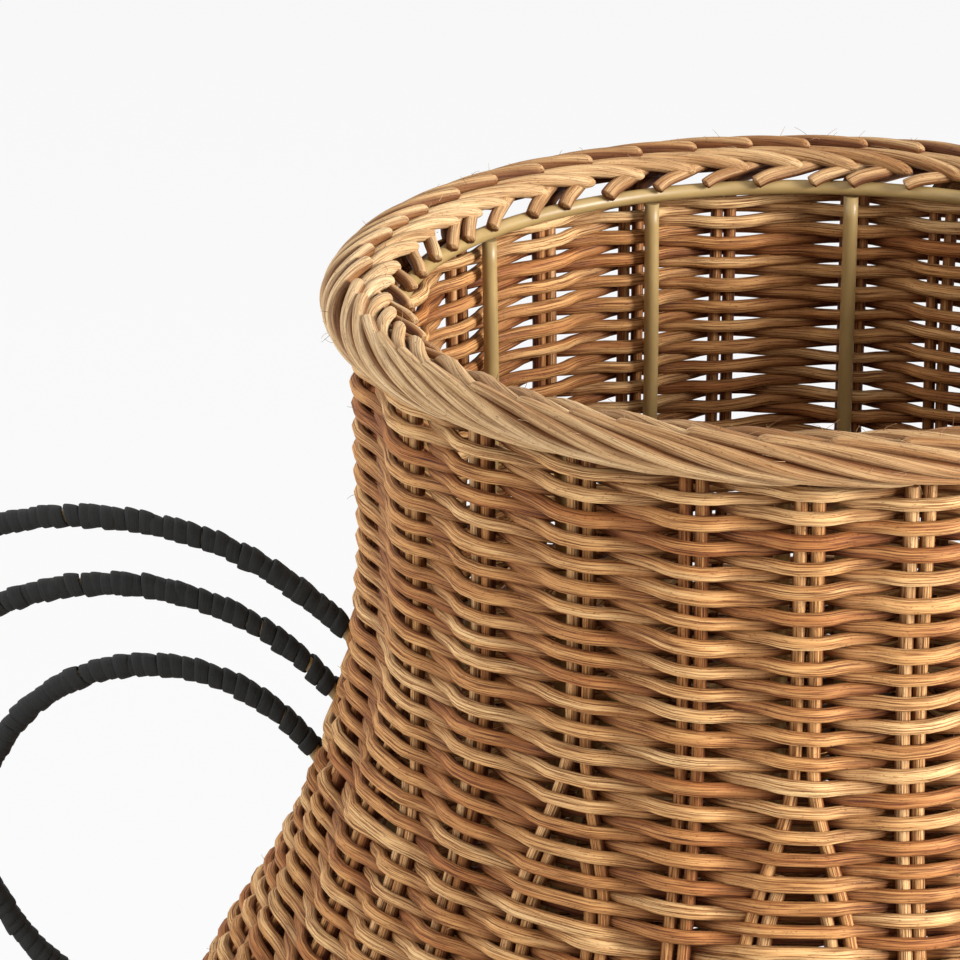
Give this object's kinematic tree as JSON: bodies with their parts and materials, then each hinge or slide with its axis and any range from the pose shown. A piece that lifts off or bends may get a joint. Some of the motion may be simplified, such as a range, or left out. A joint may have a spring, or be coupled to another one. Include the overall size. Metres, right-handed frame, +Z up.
{
  "type": "rattan vase",
  "caption": "Tall woven rattan vase with an open mouth, a rolled border, an inner painted wire frame and nested strip-wrapped arc handles on both sides.",
  "frame": {"origin": "on the floor, at the middle of the base", "axes": "+Z up along the vase's axis, handles along +X and -X, front towards -Y"},
  "size_m": [0.4524, 0.3212, 0.4596],
  "materials": {
    "rattan_weave": "bare round rattan core, fine lengthwise grooves, satin",
    "rattan_border": "bare round rattan core, paler, satin",
    "rattan_stake": "bare round rattan core, satin",
    "frame_paint": "smooth khaki paint on steel wire",
    "black_wrap": "matte black flat strip, wound"
  },
  "bodies": {
    "root": {"woven_wall": "rattan_weave", "woven_base": "rattan_weave", "rim_border": "rattan_border", "stake_01": "rattan_stake", "stake_02": "rattan_stake", "stake_03": "rattan_stake", "stake_04": "rattan_stake", "stake_05": "rattan_stake", "stake_06": "rattan_stake", "stake_07": "rattan_stake", "stake_08": "rattan_stake", "stake_09": "rattan_stake", "stake_10": "rattan_stake", "stake_11": "rattan_stake", "stake_12": "rattan_stake", "stake_13": "rattan_stake", "stake_14": "rattan_stake", "stake_15": "rattan_stake", "stake_16": "rattan_stake", "stake_17": "rattan_stake", "stake_18": "rattan_stake", "stake_19": "rattan_stake", "stake_20": "rattan_stake", "stake_21": "rattan_stake", "stake_22": "rattan_stake", "stake_23": "rattan_stake", "stake_24": "rattan_stake", "frame_top_ring": "frame_paint", "frame_base_ring": "frame_paint", "frame_rod_01": "frame_paint", "frame_rod_02": "frame_paint", "frame_rod_03": "frame_paint", "frame_rod_04": "frame_paint", "frame_rod_05": "frame_paint", "frame_rod_06": "frame_paint", "frame_rod_07": "frame_paint", "frame_rod_08": "frame_paint", "frame_rod_09": "frame_paint", "frame_rod_10": "frame_paint", "frame_rod_11": "frame_paint", "frame_rod_12": "frame_paint", "right_handle_outer_core": "frame_paint", "right_handle_middle_core": "frame_paint", "right_handle_inner_core": "frame_paint", "left_handle_outer_core": "frame_paint", "left_handle_middle_core": "frame_paint", "left_handle_inner_core": "frame_paint", "right_handle_outer_wrap": "black_wrap", "right_handle_middle_wrap": "black_wrap", "right_handle_inner_wrap": "black_wrap", "left_handle_outer_wrap": "black_wrap", "left_handle_middle_wrap": "black_wrap", "left_handle_inner_wrap": "black_wrap"}
  },
  "joints": []
}
